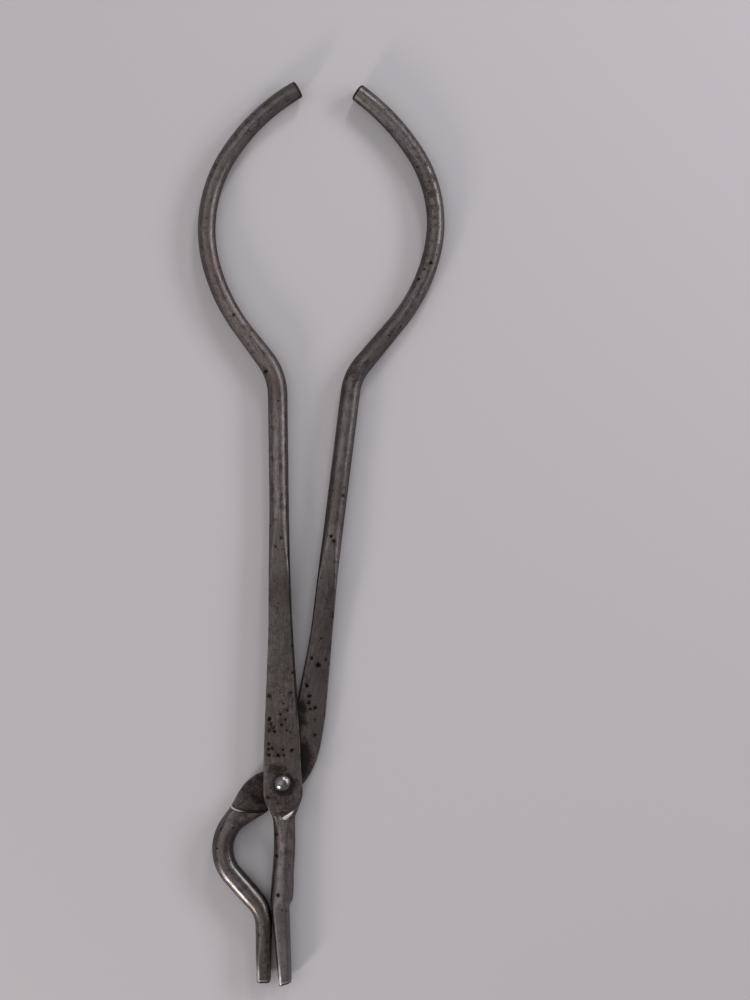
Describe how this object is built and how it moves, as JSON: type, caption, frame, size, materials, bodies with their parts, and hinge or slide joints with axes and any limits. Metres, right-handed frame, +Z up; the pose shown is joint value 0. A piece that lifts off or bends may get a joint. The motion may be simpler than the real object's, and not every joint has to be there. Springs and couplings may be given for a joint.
{
  "type": "scissor tongs",
  "caption": "Forged steel scissor tongs with open bow handles, long tapered blades, a riveted pivot and slim jaws, the lower jaw bulged round an eye, for gripping and holding hot work.",
  "frame": {"origin": "on the rivet's axis, at the flat underside of the lower half's boss, which is the plane that the tongs lie on", "axes": "+Y along the shanks towards the open bows, +Z up out of the plane that the tongs lie on, towards the rivet's domed head, +X to the lower half's shank"},
  "size_m": [0.1368, 0.5008, 0.0145],
  "materials": {
    "forged_bar": "bare forged steel, worn satin, tarnished grey-brown with dark stains and small pits",
    "rivet_steel": "domed rivet head, polished by wear"
  },
  "bodies": {
    "lower": {"lower_half": "forged_bar", "rivet": "rivet_steel"},
    "upper": {"upper_half": "forged_bar"}
  },
  "joints": [
    {"name": "rivet_hinge", "type": "hinge", "parent": "lower", "child": "upper", "pos_m": [0, 0, 0], "axis": [0, 0, 1], "range_deg": [0, 90]}
  ]
}
